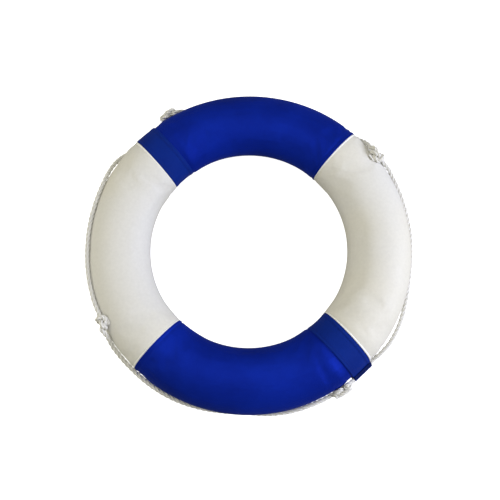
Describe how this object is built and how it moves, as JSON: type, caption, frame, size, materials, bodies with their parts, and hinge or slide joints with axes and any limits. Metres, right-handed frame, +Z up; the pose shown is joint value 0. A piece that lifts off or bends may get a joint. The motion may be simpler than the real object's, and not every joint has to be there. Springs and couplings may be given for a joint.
{
  "type": "ring lifebuoy",
  "caption": "Foam ring lifebuoy in a blue and white sewn cover, with wrap-round straps and a knotted grab line round its outer edge.",
  "frame": {"origin": "centre of the ring on the plane that it lies on", "axes": "+Z up along the ring's axis, +X to the right and +Y to the top of the ring as it lies"},
  "size_m": [0.7304, 0.7269, 0.11],
  "materials": {
    "blue_cloth": "coated plain-weave cloth, royal blue, soft sheen",
    "white_cloth": "coated cloth, white, smooth",
    "blue_strap": "hemmed strap of the blue cloth",
    "white_webbing": "woven webbing, white",
    "rope": "three-strand twisted rope, off white",
    "foam": "closed-cell foam"
  },
  "bodies": {
    "root": {"foam_core_upper": "foam", "foam_core_lower": "foam", "cover_blue_top": "blue_cloth", "cover_white_left": "white_cloth", "cover_blue_bottom": "blue_cloth", "cover_white_right": "white_cloth", "strap_left": "blue_strap", "strap_right": "blue_strap", "becket_1": "white_webbing", "becket_2": "blue_strap", "becket_3": "white_webbing", "becket_4": "blue_strap", "knot_1": "rope", "knot_2": "rope", "knot_3": "rope", "knot_4": "rope", "grab_line_top": "rope", "grab_line_left": "rope", "grab_line_bottom": "rope", "grab_line_right": "rope"}
  },
  "joints": []
}
